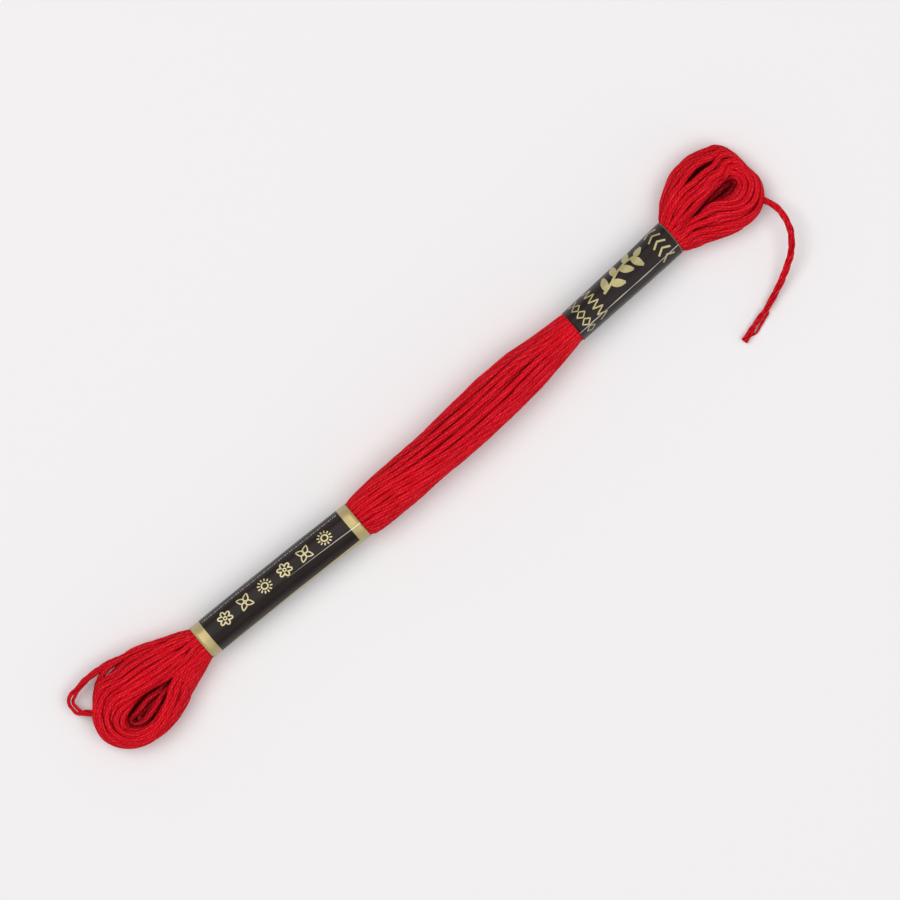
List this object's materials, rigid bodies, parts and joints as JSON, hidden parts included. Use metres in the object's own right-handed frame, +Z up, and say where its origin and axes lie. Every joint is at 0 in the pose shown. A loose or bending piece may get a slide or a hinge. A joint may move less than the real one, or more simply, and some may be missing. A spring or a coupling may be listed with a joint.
{
  "type": "embroidery floss skein",
  "caption": "Skein of stranded red embroidery floss lying flat, gripped by dark paper bands, its loops fanned out at both ends, with a loose end to pull and cut for stitching.",
  "frame": {"origin": "centre of the base of the skein and its bands, on the surface it lies on, the loose end left out", "axes": "+X along the skein towards the loop with the loose end, +Y to the left, +Z up"},
  "size_m": [0.1598, 0.0334, 0.0082],
  "materials": {
    "red_floss": "soft cotton with a low sheen",
    "red_floss_end": "soft cotton with a low sheen",
    "long_band_paper": "satin printed paper",
    "short_band_paper": "satin printed paper"
  },
  "bodies": {
    "root": {"floss_hank": "red_floss", "long_band": "long_band_paper", "short_band": "short_band_paper", "loose_end": "red_floss_end"}
  },
  "joints": []
}
